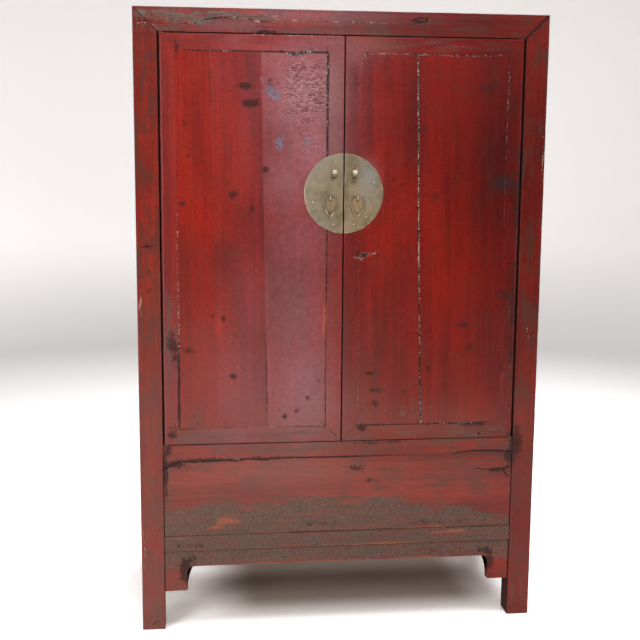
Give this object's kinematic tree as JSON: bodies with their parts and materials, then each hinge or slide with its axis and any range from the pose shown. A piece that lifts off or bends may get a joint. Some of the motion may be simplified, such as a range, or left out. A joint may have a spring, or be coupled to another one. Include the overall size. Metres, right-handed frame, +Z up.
{
  "type": "wedding cabinet",
  "caption": "Tall two-door lacquered wooden cabinet with a round brass lock plate, leaf pulls, an inner shelf and a hidden chest under lift-out boards.",
  "frame": {"origin": "on the floor, at the middle of the cabinet's width and of its depth with the lock loops", "axes": "+Z up, -Y out of the doors, +X to the right of someone who faces the doors"},
  "size_m": [1.165, 0.5964, 1.78],
  "materials": {
    "frame_lacquer": "worn dark red lacquer",
    "door_lacquer": "worn red lacquer",
    "panel_lacquer": "stained red lacquer",
    "bare_softwood": "old unlacquered softwood",
    "aged_brass": "aged satin",
    "polished_brass": "worn bright"
  },
  "bodies": {
    "carcass": {"apron_front": "frame_lacquer", "belly_panel": "panel_lacquer", "bottom_boards": "bare_softwood", "bottom_rail_back": "frame_lacquer", "bottom_rail_front": "frame_lacquer", "bottom_rail_left": "frame_lacquer", "bottom_rail_right": "frame_lacquer", "door_stops": "bare_softwood", "lid_ledges": "bare_softwood", "lower_panel_back": "panel_lacquer", "lower_panel_left": "panel_lacquer", "lower_panel_right": "panel_lacquer", "middle_rail_back": "frame_lacquer", "middle_rail_front": "frame_lacquer", "middle_rail_left": "frame_lacquer", "middle_rail_right": "frame_lacquer", "post_back_left": "frame_lacquer", "post_back_right": "frame_lacquer", "post_front_left": "frame_lacquer", "post_front_right": "frame_lacquer", "shelf": "bare_softwood", "shelf_bearers": "bare_softwood", "side_battens": "bare_softwood", "top_battens": "bare_softwood", "top_panel": "frame_lacquer", "top_rail_back": "frame_lacquer", "top_rail_front": "frame_lacquer", "top_rail_left": "frame_lacquer", "top_rail_right": "frame_lacquer", "upper_panel_back": "panel_lacquer", "upper_panel_left": "panel_lacquer", "upper_panel_right": "panel_lacquer"},
    "door_left": {"door_battens_left": "bare_softwood", "door_board_left_1": "door_lacquer", "door_board_left_2": "door_lacquer", "door_board_left_3": "door_lacquer", "door_bottom_rail_left": "door_lacquer", "door_top_rail_left": "door_lacquer", "hinge_stile_left": "door_lacquer", "lock_loop_left": "polished_brass", "meeting_stile_left": "door_lacquer", "plate_left": "aged_brass", "plate_nails_left": "polished_brass", "pull_eye_left": "polished_brass"},
    "door_right": {"door_battens_right": "bare_softwood", "door_board_right_1": "door_lacquer", "door_board_right_2": "door_lacquer", "door_bottom_rail_right": "door_lacquer", "door_top_rail_right": "door_lacquer", "hinge_stile_right": "door_lacquer", "lock_loop_right": "polished_brass", "meeting_stile_right": "door_lacquer", "plate_nails_right": "polished_brass", "plate_right": "aged_brass", "pull_eye_right": "polished_brass"},
    "pull_left": {"leaf_pull_left": "aged_brass"},
    "pull_right": {"leaf_pull_right": "aged_brass"},
    "lid_left": {"lid_board_left": "bare_softwood"},
    "lid_right": {"lid_board_right": "bare_softwood"}
  },
  "joints": [
    {"name": "door_left_hinge", "type": "hinge", "parent": "carcass", "child": "door_left", "pos_m": [-0.506, -0.26175, 1.135], "axis": [0, 0, -1], "range_deg": [0, 95]},
    {"name": "door_right_hinge", "type": "hinge", "parent": "carcass", "child": "door_right", "pos_m": [0.506, -0.26175, 1.135], "axis": [0, 0, 1], "range_deg": [0, 95]},
    {"name": "pull_left_swing", "type": "hinge", "parent": "door_left", "child": "pull_left", "pos_m": [-0.0388, -0.28025, 1.2665], "axis": [-1, 0, 0], "range_deg": [-5, 170]},
    {"name": "pull_right_swing", "type": "hinge", "parent": "door_right", "child": "pull_right", "pos_m": [0.0388, -0.28025, 1.2665], "axis": [-1, 0, 0], "range_deg": [-5, 170]},
    {"name": "lid_left_lift", "type": "slide", "parent": "carcass", "child": "lid_left", "axis": [0, 0, 1], "range_m": [0, 0.3]},
    {"name": "lid_right_lift", "type": "slide", "parent": "carcass", "child": "lid_right", "axis": [0, 0, 1], "range_m": [0, 0.3]}
  ]
}
